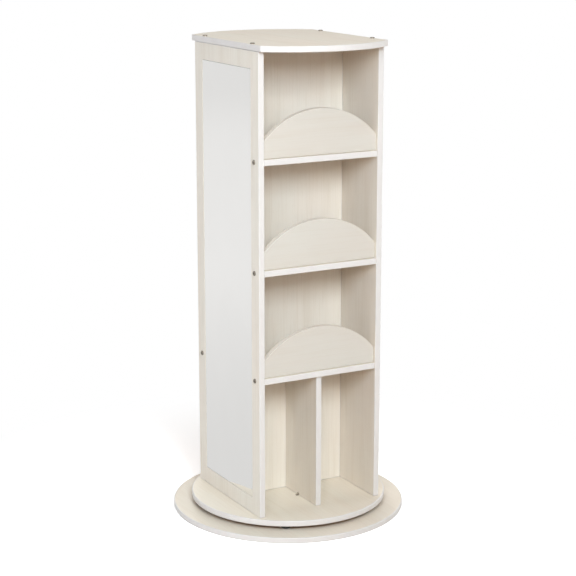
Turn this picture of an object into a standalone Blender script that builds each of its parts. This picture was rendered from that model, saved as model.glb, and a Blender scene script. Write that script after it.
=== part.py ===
# Rotating costume rack: a white-washed cabinet that turns on a ball bearing.
# Metres, +Z up. The front faces -Y. The origin is on the floor, on the turning axis.

import bpy
import bmesh
from math import acos, asin, atan2, cos, hypot, pi, radians, sin, sqrt
from mathutils import Matrix, Vector

# Boards
board = 0.015                  # thickness of every board
seat = 0.0003                  # gap left between two pieces that touch
arris = 0.0012                 # rounding along a board's edges
disc_edge_round = 0.0025       # rounding along the discs and the top
corner_round = 0.004           # rounding of the top's four corners, seen from above

# Cabinet
cabinet_width = 0.347          # over the side panels
cabinet_depth = 0.344          # a side panel from front to back
cabinet_height = 1.160         # a side panel from foot to top
partition_front = 0.0          # from the axis back to the partition's front face
top_side_overhang = 0.0018     # the top past the side panels
top_corner_overhang = 0.0137   # the top's corners past the panels' front and back edges

# Shelves, counted from the platform
cubby_height = 0.344           # clear height under the lowest shelf
shelf_count = 3                # shelves in front, with equal bays above them
shelf_set_back = 0.001         # shelf edge behind the panels' edge
divider_set_back = 0.010       # divider edge behind the panels' edge

# Arched lips on the front shelves
lip_set_back = 0.007           # lip behind the shelf's edge
lip_end_height = 0.040
lip_middle_height = 0.114

# Mirrors let into the side panels
mirror_side_margin = 0.041     # panel left in front of and behind a mirror
mirror_end_margin = 0.043      # panel left above and below a mirror
mirror_thickness = 0.003
mirror_sunk = 0.0007           # mirror face below the panel's face
mirror_joint = 0.0005          # gap round the mirror
mirror_arris = 0.0004

# Discs under the cabinet
platform_margin = 0.0082       # platform rim past the cabinet's corners
base_reach = 0.0475            # base rim past the platform's rim
turntable_gap = 0.0108         # from the base up to the platform

# Bearing between the discs
track_diameter = 0.200         # circle that the balls run on
ball_count = 8
race_wall = 0.0018             # metal under a ball
race_clearance = 0.0003        # between a ball and its groove or pocket
cage_thickness = 0.0012
cage_clearance = 0.0008        # between the cage and the rings' shoulders
cage_width = 0.011
shoulder_width = 0.002
flange_reach = 0.019           # ring's outer edge past the ball circle
flange_thickness = 0.0016
hook_reach = 0.0045            # lower ring's inner lip
hook_clearance = 0.0006
skirt_wall = 0.0018            # upper ring's skirt, inside the lower ring
ring_screw_offset = 0.0125     # screws outside the ball circle
ring_screw_count = 3
lower_screw_turn = 90          # degrees round from the right to the first screw
upper_screw_turn = 30
access_hole_diameter = 0.010   # way through the base to the upper ring's screws

# Glides under the platform's rim
glide_count = 6
glide_turn = 0                 # degrees round from the right to the first glide
glide_inset = 0.025            # glide centre inside the platform's rim
glide_diameter = 0.025
glide_round = 0.0025
glide_running_gap = 0.0004
glide_stem_diameter = 0.008
glide_stem_length = 0.010

# Bolts and screws
bolt_diameter = 0.006
bolt_length = 0.050            # under the head
bolt_head_diameter = 0.012
bolt_head_height = 0.0024
bolt_dome = 0.0015             # rounding of a pan head's rim
bolt_clearance = 0.0003        # between a shank and its hole
bolt_end_room = 0.001          # hole left past a bolt's end
cut_room = 0.001               # a cutter runs this far past the face that it opens
socket_across_flats = 0.005
socket_depth = 0.0018
shelf_bolt_inset = 0.0235      # from a panel's edge to the bolt's centre
top_bolt_inset = 0.044
foot_bolt_inset = 0.044
screw_diameter = 0.0035
screw_length = 0.012           # with its head
screw_head_diameter = 0.007
screw_head_height = 0.0015

# Hanging rail in the tall rear bay, running front to back
rail_drop = 0.080              # rail centre below the top
rail_diameter = 0.016
rail_length = 0.132            # from its plate to its stop
rail_plate_diameter = 0.050
rail_plate_thickness = 0.003
rail_stop_diameter = 0.026
rail_stop_thickness = 0.006
rail_stop_round = 0.0018
rail_arris = 0.0006
rail_weld = 0.001              # fillet where the tube meets its plate
rail_screw_spacing = 0.034

# Angle clip at the divider's foot
clip_from_front = 0.092        # divider's edge to the clip's centre
clip_width = 0.008
clip_leg = 0.007
clip_thickness = 0.0012
clip_bend = 0.0007             # inner bend of the clip

# Facets
disc_steps = 72
ring_steps = 48
rail_steps = 16
glide_steps = 16
bolt_steps = 12
ball_steps = 10
lip_steps = 20
top_steps = 20
groove_steps = 4
rim_steps = 2
arris_steps = 1
corner_steps = 4
smooth_below = 32              # degrees between faces that still shade as one surface
round_above = 30               # degrees between faces whose edge gets rounded

# Levels and places that follow from the sizes above
base_top = board
platform_bottom = base_top + turntable_gap
platform_top = platform_bottom + board
cabinet_bottom = platform_top + seat
cabinet_top = cabinet_bottom + cabinet_height
top_bottom = cabinet_top + seat
top_face = top_bottom + board
half_width = cabinet_width / 2
half_depth = cabinet_depth / 2
bay_half_width = half_width - board
panel_centre = half_width - board / 2
board_half_length = bay_half_width - seat
partition_back = partition_front + board
lowest_shelf_bottom = cabinet_bottom + cubby_height
lowest_shelf_top = lowest_shelf_bottom + board
upper_bay_height = (cabinet_top - lowest_shelf_top - (shelf_count - 1) * board) / shelf_count
shelf_front = -half_depth + shelf_set_back
platform_radius = hypot(half_width, half_depth) + platform_margin
base_radius = platform_radius + base_reach
track_radius = track_diameter / 2
ball_radius = turntable_gap / 2 - seat - race_wall - race_clearance
ball_level = base_top + turntable_gap / 2
glide_circle = platform_radius - glide_inset
ring_screw_circle = track_radius + ring_screw_offset
hole_radius = bolt_diameter / 2 + bolt_clearance
screw_hole_radius = screw_diameter / 2 + bolt_clearance
rail_level = top_bottom - rail_drop

# Colours as seen on the piece: sRGB hex, roughness, metallic
finishes = {
    "washed wood": ("DED8CC", 0.55, 0.0),
    "washed wood, lips": ("E4DFD5", 0.55, 0.0),
    "white edge": ("F1F0ED", 0.45, 0.0),
    "mirror": ("E6E8E9", 0.04, 1.0),
    "nickelled steel": ("B2AAA0", 0.3, 1.0),
    "bright steel": ("B9BBBD", 0.28, 1.0),
    "cast aluminium": ("A9ABAC", 0.42, 1.0),
    "black nylon": ("17140F", 0.5, 0.0),
    "pale nylon": ("D9D6CC", 0.5, 0.0),
}


def clear_scene():
    for old in list(bpy.data.objects):
        bpy.data.objects.remove(old)


def linear(channel):
    return channel / 12.92 if channel <= 0.04045 else ((channel + 0.055) / 1.055) ** 2.4


def finish_for(piece, finish):
    """Give the piece a material of its own."""
    colour, roughness, metallic = finishes[finish]
    rgb = [linear(int(colour[i:i + 2], 16) / 255) for i in (0, 2, 4)]
    made = bpy.data.materials.new(f"{piece.name} {finish}")
    made.use_nodes = True
    made.diffuse_color = (*rgb, 1)
    shader = made.node_tree.nodes["Principled BSDF"]
    shader.inputs["Base Color"].default_value = (*rgb, 1)
    shader.inputs["Roughness"].default_value = roughness
    shader.inputs["Metallic"].default_value = metallic
    piece.data.materials.append(made)


def add_object(name, mesh_data, carrier=None, matrix=None):
    mesh = bpy.data.meshes.new(name)
    bmesh.ops.recalc_face_normals(mesh_data, faces=mesh_data.faces)
    mesh_data.to_mesh(mesh)
    mesh_data.free()
    made = bpy.data.objects.new(name, mesh)
    bpy.context.scene.collection.objects.link(made)
    if matrix is not None:
        made.matrix_world = matrix
    if carrier is not None:
        made.parent = carrier
    return made


def add_axis(name):
    """An empty on the turning axis that carries one moving body."""
    axis = bpy.data.objects.new(name, None)
    axis.empty_display_size = 0.1
    bpy.context.scene.collection.objects.link(axis)
    return axis


def shade_round(piece):
    piece.data.shade_smooth()
    piece.data.set_sharp_from_angle(angle=radians(smooth_below))


def round_edges(piece, width, steps=arris_steps):
    bevel = piece.modifiers.new("Rounded edges", "BEVEL")
    bevel.width = width
    bevel.segments = steps
    bevel.limit_method = "ANGLE"
    bevel.angle_limit = radians(round_above)


def cut(piece, tool):
    """Take the tool's shape out of the piece."""
    tool.hide_render = True
    tool.display_type = "WIRE"
    difference = piece.modifiers.new("Cut", "BOOLEAN")
    difference.operation = "DIFFERENCE"
    difference.solver = "EXACT"
    difference.object = tool


def white_edges(piece, flat_axis):
    """Faces that don't look along the board's flat axis are its white edges."""
    finish_for(piece, "white edge")
    for face in piece.data.polygons:
        face.material_index = 0 if abs(face.normal[flat_axis]) > 0.7 else 1


def box_mesh(size):
    mesh_data = bmesh.new()
    bmesh.ops.create_cube(mesh_data, size=1)
    bmesh.ops.scale(mesh_data, vec=size, verts=mesh_data.verts)
    return mesh_data


def add_board(name, low, high, carrier, flat_axis, finish="washed wood"):
    """A board between two corners, with its edges rounded and painted white."""
    low, high = Vector(low), Vector(high)
    place = Matrix.Translation((low + high) / 2)
    piece = add_object(name, box_mesh(high - low), carrier, place)
    finish_for(piece, finish)
    white_edges(piece, flat_axis)
    round_edges(piece, arris)
    return piece


def outline_mesh(outline, thickness):
    """A closed outline in X and Y, drawn out along Z about the middle."""
    mesh_data = bmesh.new()
    corners = [mesh_data.verts.new((x, y, -thickness / 2)) for x, y in outline]
    face = mesh_data.faces.new(corners)
    drawn = bmesh.ops.extrude_face_region(mesh_data, geom=[face])
    moved = [item for item in drawn["geom"] if isinstance(item, bmesh.types.BMVert)]
    bmesh.ops.translate(mesh_data, vec=(0, 0, thickness), verts=moved)
    return mesh_data


def ring_radius(radius, sides, angle):
    """A round ring, or with a number of sides the flats of a polygon."""
    if sides == 0:
        return radius
    step = 2 * pi / sides
    return radius / cos(angle % step - step / 2)


def turned_mesh(profile, steps, closed=False, mesh_data=None, matrix=Matrix()):
    """Turn a profile of (radius, height) or (radius, height, sides) points about Z.
    An open profile starts and ends on the axis, a closed one is a ring's section."""
    mesh_data = mesh_data or bmesh.new()
    rings = []
    for radius, height, *sides in profile:
        if radius == 0:
            rings.append([mesh_data.verts.new(matrix @ Vector((0, 0, height)))])
            continue
        ring = []
        for i in range(steps):
            angle = 2 * pi * i / steps
            r = ring_radius(radius, sides[0] if sides else 0, angle)
            ring.append(mesh_data.verts.new(matrix @ Vector((r * cos(angle), r * sin(angle), height))))
        rings.append(ring)
    pairs = list(zip(rings, rings[1:]))
    if closed:
        pairs.append((rings[-1], rings[0]))
    for lower, upper in pairs:
        for i in range(steps):
            j = (i + 1) % steps
            corners = [lower[i % len(lower)], lower[j % len(lower)],
                       upper[j % len(upper)], upper[i % len(upper)]]
            mesh_data.faces.new(list(dict.fromkeys(corners)))
    return mesh_data


def aim(point, direction):
    """Place something made along +Z so that it points along the direction."""
    turn = Vector(direction).to_track_quat("Z", "Y").to_matrix().to_4x4()
    return Matrix.Translation(point) @ turn


def add_bores(name, bores, carrier, steps=bolt_steps):
    """One cutter for many bores, each (start, direction, profile)."""
    mesh_data = bmesh.new()
    for start, direction, profile in bores:
        turned_mesh(profile, steps, mesh_data=mesh_data, matrix=aim(start, direction))
    return add_object(name, mesh_data, carrier)


def straight_bore(radius, depth):
    """A bore that starts just outside the face and ends at the depth."""
    return [(0, -cut_room), (radius, -cut_room), (radius, depth), (0, depth)]


def through_bore(radius, thickness):
    return straight_bore(radius, thickness + cut_room)


def sunk_bore(head_radius, head_height, shank_radius, thickness):
    """A bore right through, with a cone for a countersunk head at its start."""
    slope = (head_radius - shank_radius) / head_height
    mouth = head_radius + slope * cut_room
    return [(0, -cut_room), (mouth, -cut_room), (shank_radius, head_height),
            (shank_radius, thickness + cut_room), (0, thickness + cut_room)]


def sunk_screw_bore(thickness):
    return sunk_bore(screw_head_diameter / 2 + bolt_clearance, screw_head_height,
                     screw_hole_radius, thickness)


def circle_places(count, radius, height, start):
    angles = [radians(start) + 2 * pi * i / count for i in range(count)]
    return [Vector((radius * cos(a), radius * sin(a), height)) for a in angles]


def pan_bolt_profile():
    """Domed head above 0 with a hexagon socket, shank below 0."""
    shank = bolt_diameter / 2
    head = bolt_head_diameter / 2
    flat = socket_across_flats / 2
    return [(0, -bolt_length), (shank, -bolt_length), (shank, 0), (head, 0),
            (head, bolt_head_height - bolt_dome), (head - bolt_dome, bolt_head_height),
            (flat, bolt_head_height, 6),
            (flat, bolt_head_height - socket_depth, 6), (0, bolt_head_height - socket_depth)]


def sunk_bolt_profile():
    """Countersunk head with a hexagon socket, its top at 0, shank below it."""
    shank = bolt_diameter / 2
    head = bolt_head_diameter / 2
    flat = socket_across_flats / 2
    cone = head - shank
    return [(0, -bolt_length), (shank, -bolt_length), (shank, -cone), (head, 0),
            (flat, 0, 6), (flat, -socket_depth, 6), (0, -socket_depth)]


def screw_profile():
    """Small countersunk screw, its head's top at 0 and its point below."""
    shank = screw_diameter / 2
    return [(0, -screw_length), (shank, -screw_length + screw_diameter),
            (shank, -screw_head_height), (screw_head_diameter / 2, 0), (0, 0)]


def add_fastener(name, profile, point, direction, carrier, finish):
    """A bolt or screw whose head looks along the direction."""
    piece = add_object(name, turned_mesh(profile, bolt_steps), carrier, aim(point, direction))
    finish_for(piece, finish)
    shade_round(piece)


# Bearing and discs

def shoulder_levels():
    """Tops of the lower ring's shoulders and undersides of the upper ring's."""
    apart = cage_thickness / 2 + cage_clearance
    return ball_level - apart, ball_level + apart


def groove(level, sign):
    """Arc of a race groove from its inner to its outer shoulder."""
    radius = ball_radius + race_clearance
    drop = abs(ball_level - level)
    half_angle = acos(drop / radius)
    points = []
    for i in range(groove_steps + 1):
        angle = half_angle * (2 * i / groove_steps - 1)
        points.append((track_radius + radius * sin(angle), ball_level - sign * radius * cos(angle)))
    return points


def ring_radii():
    """Radii that both rings share, from the groove outwards and inwards."""
    radius = ball_radius + race_clearance
    drop = cage_thickness / 2 + cage_clearance
    half_groove = sqrt(radius ** 2 - drop ** 2)
    outer = track_radius + half_groove + shoulder_width
    inner = track_radius - half_groove - shoulder_width
    return outer, inner, inner - hook_reach


def lower_race_profile():
    """Section of the fixed ring: flange, groove and a raised lip over the hook."""
    outer, inner, lip = ring_radii()
    foot = base_top + seat
    level = shoulder_levels()[0]
    lip_wall = (level - base_top - 2 * hook_clearance) / 2
    flange = track_radius + flange_reach
    return [(inner, foot), (flange, foot), (flange, foot + flange_thickness),
            (outer + shoulder_width / 2, foot + flange_thickness), (outer, level),
            *reversed(groove(level, 1)), (lip, level), (lip, level - lip_wall),
            (inner, level - lip_wall)]


def upper_race_profile():
    """Section of the turning ring: its skirt hooks under the lower ring's lip."""
    outer, inner, lip = ring_radii()
    head = platform_bottom - seat
    lower_level, level = shoulder_levels()
    lip_wall = (lower_level - base_top - 2 * hook_clearance) / 2
    flange = track_radius + flange_reach
    skirt = lip - hook_clearance
    hook_top = lower_level - lip_wall - hook_clearance
    hook_bottom = base_top + hook_clearance
    hook_edge = inner - hook_clearance
    return [(skirt - skirt_wall, head), (flange, head), (flange, head - flange_thickness),
            (outer + shoulder_width / 2, head - flange_thickness), (outer, level),
            *reversed(groove(level, -1)), (skirt, level), (skirt, hook_top),
            (hook_edge, hook_top), (hook_edge, hook_bottom), (skirt - skirt_wall, hook_bottom)]


def ring_screw_places(height, start):
    return circle_places(ring_screw_count, ring_screw_circle, height, start)


def add_disc(name, radius, bottom, carrier):
    disc = add_object(name, turned_mesh([(0, -board / 2), (radius, -board / 2),
                                         (radius, board / 2), (0, board / 2)], disc_steps),
                      carrier, Matrix.Translation((0, 0, bottom + board / 2)))
    finish_for(disc, "washed wood")
    white_edges(disc, 2)
    shade_round(disc)
    round_edges(disc, disc_edge_round, rim_steps)
    return disc


def access_places(height):
    """One hole gives way to each upper screw in turn as the platform is turned."""
    return [circle_places(1, ring_screw_circle, height, upper_screw_turn)[0]]


def build_base():
    """Fixed disc that stands on the floor."""
    disc = add_disc("base_disc", base_radius, 0, None)
    level = base_top + seat + flange_thickness
    depth = screw_length + bolt_end_room
    bores = [(place, (0, 0, -1), straight_bore(screw_hole_radius, depth))
             for place in ring_screw_places(level, lower_screw_turn)]
    way = access_hole_diameter / 2
    bores += [(place, (0, 0, 1), through_bore(way, board)) for place in access_places(0)]
    cut(disc, add_bores("base_bores", bores, None))


def build_lower_race():
    """Fixed ring of the bearing, screwed to the base."""
    mesh_data = turned_mesh(lower_race_profile(), ring_steps, closed=True)
    ring = add_object("lower_race_ring", mesh_data)
    finish_for(ring, "cast aluminium")
    shade_round(ring)
    level = base_top + seat + flange_thickness
    sink = sunk_screw_bore(flange_thickness)
    bores = [(place, (0, 0, -1), sink) for place in ring_screw_places(level, lower_screw_turn)]
    way = through_bore(access_hole_diameter / 2, flange_thickness)
    bores += [(place, (0, 0, -1), way) for place in access_places(level)]
    cut(ring, add_bores("lower_race_bores", bores, None))
    for number, place in enumerate(ring_screw_places(level, lower_screw_turn), 1):
        add_fastener(f"lower_race_screw_{number}", screw_profile(), place, (0, 0, 1), None,
                     "bright steel")


def ball_places():
    return circle_places(ball_count, track_radius, ball_level, 180 / ball_count)


def build_cage(carrier):
    """Flat ring with a pocket for each ball. It turns at half the platform's speed."""
    inner = track_radius - cage_width / 2
    outer = track_radius + cage_width / 2
    half = cage_thickness / 2
    section = [(inner, -half), (outer, -half), (outer, half), (inner, half)]
    cage = add_object("ball_cage", turned_mesh(section, ring_steps, closed=True), carrier,
                      Matrix.Translation((0, 0, ball_level)))
    finish_for(cage, "pale nylon")
    pocket = through_bore(ball_radius + race_clearance, cage_thickness)
    bores = [(place + Vector((0, 0, half)), (0, 0, -1), pocket) for place in ball_places()]
    cut(cage, add_bores("cage_pockets", bores, carrier, steps=ball_steps))


def build_balls(carrier):
    """Steel balls, each in its pocket and between the two grooves."""
    for number, place in enumerate(ball_places(), 1):
        mesh_data = bmesh.new()
        bmesh.ops.create_uvsphere(mesh_data, u_segments=ball_steps, v_segments=ball_steps * 3 // 5,
                                  radius=ball_radius)
        ball = add_object(f"bearing_ball_{number}", mesh_data, carrier, Matrix.Translation(place))
        finish_for(ball, "bright steel")
        ball.data.shade_smooth()


def build_upper_race(carrier):
    """Turning ring of the bearing, screwed up into the platform."""
    mesh_data = turned_mesh(upper_race_profile(), ring_steps, closed=True)
    ring = add_object("upper_race_ring", mesh_data, carrier)
    finish_for(ring, "cast aluminium")
    shade_round(ring)
    level = platform_bottom - seat - flange_thickness
    sink = sunk_screw_bore(flange_thickness)
    bores = [(place, (0, 0, 1), sink) for place in ring_screw_places(level, upper_screw_turn)]
    cut(ring, add_bores("upper_race_bores", bores, carrier))
    for number, place in enumerate(ring_screw_places(level, upper_screw_turn), 1):
        add_fastener(f"upper_race_screw_{number}", screw_profile(), place, (0, 0, -1), carrier,
                     "bright steel")


def glide_places():
    return circle_places(glide_count, glide_circle, platform_bottom - seat, glide_turn)


def build_glides(carrier):
    """Black glides that keep a leaning platform off the base, pushed in by their stems."""
    height = turntable_gap - seat - glide_running_gap
    radius = glide_diameter / 2
    stem = glide_stem_diameter / 2
    corner = [(radius - glide_round + glide_round * sin(a), -height + glide_round - glide_round * cos(a))
              for a in (0, pi / 4, pi / 2)]
    profile = [(0, -height), *corner, (radius, 0), (stem, 0),
               (stem, glide_stem_length), (0, glide_stem_length)]
    for number, place in enumerate(glide_places(), 1):
        glide = add_object(f"rim_glide_{number}", turned_mesh(profile, glide_steps), carrier,
                           Matrix.Translation(place))
        finish_for(glide, "black nylon")
        shade_round(glide)


def foot_bolt_places():
    along = half_depth - foot_bolt_inset
    return [Vector((x * panel_centre, y * along, platform_bottom)) for x in (-1, 1) for y in (-1, 1)]


def build_platform(carrier):
    """Turning disc that the cabinet stands on."""
    disc = add_disc("platform_disc", platform_radius, platform_bottom, carrier)
    level = platform_bottom - seat - flange_thickness
    depth = screw_length + bolt_end_room
    up = (0, 0, 1)
    bores = [(place, up, straight_bore(screw_hole_radius, depth))
             for place in ring_screw_places(level, upper_screw_turn)]
    stem_hole = straight_bore(glide_stem_diameter / 2 + bolt_clearance,
                              seat + glide_stem_length + bolt_end_room)
    bores += [(place, up, stem_hole) for place in glide_places()]
    cone = (bolt_head_diameter - bolt_diameter) / 2
    sink = sunk_bore(bolt_head_diameter / 2 + bolt_clearance, cone, hole_radius, board)
    bores += [(place, up, sink) for place in foot_bolt_places()]
    cut(disc, add_bores("platform_bores", bores, carrier))


# Cabinet

def mirror_size():
    return (cabinet_depth - 2 * mirror_side_margin, cabinet_height - 2 * mirror_end_margin)


def add_mirror(name, side, carrier):
    """Mirror sheet in its pocket, on the outer face of a side panel."""
    width, height = mirror_size()
    outer = half_width - mirror_sunk
    size = Vector((mirror_thickness, width, height))
    centre = Vector((side * (outer - mirror_thickness / 2), 0, (cabinet_bottom + cabinet_top) / 2))
    mirror = add_object(name, box_mesh(size), carrier, Matrix.Translation(centre))
    finish_for(mirror, "mirror")
    round_edges(mirror, mirror_arris)


def add_side_panel(name, side, carrier):
    """Tall board with a routed pocket for its mirror and holes for its bolts."""
    inner, outer = sorted((side * bay_half_width, side * half_width))
    panel = add_board(name, (inner, -half_depth, cabinet_bottom), (outer, half_depth, cabinet_top),
                      carrier, 0)
    width, height = mirror_size()
    depth = mirror_sunk + mirror_thickness + seat
    pocket_size = Vector((depth + cut_room, width + 2 * mirror_joint, height + 2 * mirror_joint))
    middle = half_width - (depth - cut_room) / 2
    pocket_place = Vector((side * middle, 0, (cabinet_bottom + cabinet_top) / 2))
    pocket = add_object(f"{name}_pocket", box_mesh(pocket_size), carrier,
                        Matrix.Translation(pocket_place))
    cut(panel, pocket)
    inwards = Vector((-side, 0, 0))
    through = through_bore(hole_radius, board)
    bores = [(place, inwards, through) for place in shelf_bolt_places(side)]
    end_bore = straight_bore(hole_radius, bolt_length - board + bolt_end_room)
    for along in (-1, 1):
        top_place = (side * panel_centre, along * (half_depth - top_bolt_inset), cabinet_top)
        foot_place = (side * panel_centre, along * (half_depth - foot_bolt_inset), cabinet_bottom)
        bores.append((top_place, (0, 0, -1), end_bore))
        bores.append((foot_place, (0, 0, 1), end_bore))
    cut(panel, add_bores(f"{name}_bores", bores, carrier))


def shelf_tops():
    """Tops of the front shelves, lowest first, with equal bays above each."""
    pitch = upper_bay_height + board
    return [lowest_shelf_top + i * pitch for i in range(shelf_count)]


def shelf_names():
    words = ["lower", "middle", "upper"]
    return [words[i] if shelf_count == len(words) else f"level_{i + 1}" for i in range(shelf_count)]


def shelf_bolt_places(side):
    """Bolt centres on a side panel's outer face: the front shelves, then the rear one."""
    front = -half_depth + shelf_bolt_inset
    places = [Vector((side * half_width, front, top - board / 2)) for top in shelf_tops()]
    places.append(Vector((side * half_width, -front, lowest_shelf_top - board / 2)))
    return places


def shelf_end_bores(along, top):
    """Blind bores in both ends of a shelf, in line with the panels' holes."""
    depth = bolt_length - board + bolt_end_room
    bore = straight_bore(hole_radius, depth)
    level = top - board / 2
    return [((side * board_half_length, along, level), (-side, 0, 0), bore) for side in (-1, 1)]


def build_front_shelves(carrier):
    """Shelves between the side panels, in front of the partition."""
    for name, top in zip(shelf_names(), shelf_tops()):
        shelf = add_board(f"front_shelf_{name}", (-board_half_length, shelf_front, top - board),
                          (board_half_length, partition_front - seat, top), carrier, 2)
        bores = shelf_end_bores(-half_depth + shelf_bolt_inset, top)
        cut(shelf, add_bores(f"front_shelf_{name}_bores", bores, carrier))


def lip_outline():
    """Straight foot and short upright ends under one arc."""
    half = board_half_length
    rise = lip_middle_height - lip_end_height
    radius = (half ** 2 + rise ** 2) / (2 * rise)
    centre = lip_middle_height - radius
    sweep = asin(half / radius)
    points = [(-half, 0), (half, 0)]
    for i in range(lip_steps + 1):
        angle = sweep * (1 - 2 * i / lip_steps)
        points.append((radius * sin(angle), centre + radius * cos(angle)))
    return points


def build_lips(carrier):
    """Arched board on the front of each shelf that holds things on it."""
    upright = Matrix.Rotation(radians(90), 4, "X")
    middle = shelf_front + lip_set_back + board / 2
    for name, top in zip(shelf_names(), shelf_tops()):
        place = Matrix.Translation((0, middle, top + seat)) @ upright
        lip = add_object(f"shelf_lip_{name}", outline_mesh(lip_outline(), board), carrier, place)
        finish_for(lip, "washed wood, lips")
        white_edges(lip, 2)
        shade_round(lip)
        round_edges(lip, arris)


def build_divider(carrier):
    """Upright board that parts the lower front bay into two."""
    add_board("lower_divider", (-board / 2, -half_depth + divider_set_back, cabinet_bottom),
              (board / 2, partition_front - seat, lowest_shelf_bottom - seat), carrier, 0)


def build_clip(carrier):
    """Small bent clip in the corner between the divider and the platform."""
    start = seat
    section = [(start, start), (clip_leg, start), (clip_leg, clip_thickness),
               (clip_thickness + clip_bend, clip_thickness), (clip_thickness, clip_thickness + clip_bend),
               (clip_thickness, clip_leg), (start, clip_leg)]
    along = -half_depth + divider_set_back + clip_from_front
    # The section's X runs away from the divider and its Y runs up
    turn = Matrix(((-1, 0, 0, 0), (0, 0, 1, 0), (0, 1, 0, 0), (0, 0, 0, 1)))
    place = Matrix.Translation((-board / 2, along, platform_top)) @ turn
    clip = add_object("divider_clip", outline_mesh(section, clip_width), carrier, place)
    finish_for(clip, "nickelled steel")


def build_partition(carrier):
    """Upright board across the cabinet that parts the front from the rear."""
    partition = add_board("central_partition", (-board_half_length, partition_front, cabinet_bottom),
                          (board_half_length, partition_back, cabinet_top), carrier, 1)
    depth = screw_length - rail_plate_thickness + bolt_end_room
    bore = straight_bore(screw_hole_radius, depth)
    bores = [((x, partition_back, rail_level), (0, -1, 0), bore) for x in rail_screw_offsets()]
    cut(partition, add_bores("partition_bores", bores, carrier))


def build_rear_shelf(carrier):
    """Shelf behind the partition, level with the lowest front shelf."""
    shelf = add_board("rear_shelf", (-board_half_length, partition_back + seat, lowest_shelf_bottom),
                      (board_half_length, half_depth - shelf_set_back, lowest_shelf_top), carrier, 2)
    bores = shelf_end_bores(half_depth - shelf_bolt_inset, lowest_shelf_top)
    cut(shelf, add_bores("rear_shelf_bores", bores, carrier))


def rail_screw_offsets():
    return (-rail_screw_spacing / 2, rail_screw_spacing / 2)


def build_rail(carrier):
    """Welded rail that juts back from the partition, so that hangers face outwards."""
    tube = rail_diameter / 2
    plate = rail_plate_diameter / 2
    stop = rail_stop_diameter / 2
    end = rail_plate_thickness + rail_length
    tip = end + rail_stop_thickness
    profile = [(0, 0), (plate, 0), (plate, rail_plate_thickness - rail_arris),
               (plate - rail_arris, rail_plate_thickness), (tube + rail_weld, rail_plate_thickness),
               (tube, rail_plate_thickness + rail_weld), (tube, end), (stop - rail_stop_round, end),
               (stop, end + rail_stop_round), (stop, tip - rail_stop_round),
               (stop - rail_stop_round, tip), (0, tip)]
    start = Vector((0, partition_back + seat, rail_level))
    rail = add_object("hanging_rail", turned_mesh(profile, rail_steps), carrier, aim(start, (0, 1, 0)))
    finish_for(rail, "bright steel")
    shade_round(rail)
    sink = sunk_screw_bore(rail_plate_thickness)
    face = partition_back + seat + rail_plate_thickness
    bores = [((x, face, rail_level), (0, -1, 0), sink) for x in rail_screw_offsets()]
    cut(rail, add_bores("rail_bores", bores, carrier))
    for name, x in zip(("left", "right"), rail_screw_offsets()):
        add_fastener(f"rail_screw_{name}", screw_profile(), (x, face, rail_level), (0, 1, 0),
                     carrier, "bright steel")


def top_outline():
    """Disc with two straight sides over the side panels."""
    side = half_width + top_side_overhang
    corner = half_depth + top_corner_overhang
    radius = hypot(side, corner)
    sweep = atan2(side, corner)
    points = []
    for start in (-pi / 2, pi / 2):
        for i in range(top_steps + 1):
            angle = start + sweep * (2 * i / top_steps - 1)
            points.append((radius * cos(angle), radius * sin(angle)))
    return points


def round_corners(piece):
    """Round the four upright corners of the top before its rims."""
    bevel = piece.modifiers.new("Rounded corners", "BEVEL")
    bevel.width = corner_round
    bevel.segments = corner_steps
    bevel.limit_method = "WEIGHT"
    weights = piece.data.attributes.new("bevel_weight_edge", "FLOAT", "EDGE")
    side = half_width + top_side_overhang
    for edge in piece.data.edges:
        ends = [piece.data.vertices[i].co for i in edge.vertices]
        upright = abs(ends[0].z - ends[1].z) > board / 2
        weights.data[edge.index].value = 1.0 if upright and abs(ends[0].x) > side - seat else 0.0


def top_bolt_places():
    along = half_depth - top_bolt_inset
    return [Vector((x * panel_centre, y * along, top_face + seat)) for x in (-1, 1) for y in (-1, 1)]


def build_top(carrier):
    """Bowed board bolted down onto the side panels."""
    top = add_object("top_panel", outline_mesh(top_outline(), board), carrier,
                     Matrix.Translation((0, 0, top_bottom + board / 2)))
    finish_for(top, "washed wood")
    white_edges(top, 2)
    shade_round(top)
    round_corners(top)
    round_edges(top, disc_edge_round, rim_steps)
    through = through_bore(hole_radius, board + 2 * seat)
    bores = [(place, (0, 0, -1), through) for place in top_bolt_places()]
    cut(top, add_bores("top_bores", bores, carrier))


def build_bolts(carrier):
    """Bolts through the top, through the side panels and up from the platform."""
    corners = ("front_left", "rear_left", "front_right", "rear_right")
    for corner, place in zip(corners, top_bolt_places()):
        add_fastener(f"top_bolt_{corner}", pan_bolt_profile(), place, (0, 0, 1), carrier,
                     "nickelled steel")
    for corner, place in zip(corners, foot_bolt_places()):
        add_fastener(f"foot_bolt_{corner}", sunk_bolt_profile(), place, (0, 0, -1), carrier,
                     "bright steel")
    for hand, side in (("left", -1), ("right", 1)):
        names = [f"front_{name}" for name in shelf_names()] + ["rear"]
        for name, place in zip(names, shelf_bolt_places(side)):
            outwards = Vector((side, 0, 0))
            add_fastener(f"shelf_bolt_{name}_{hand}", pan_bolt_profile(), place + outwards * seat,
                         outwards, carrier, "nickelled steel")


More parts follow.
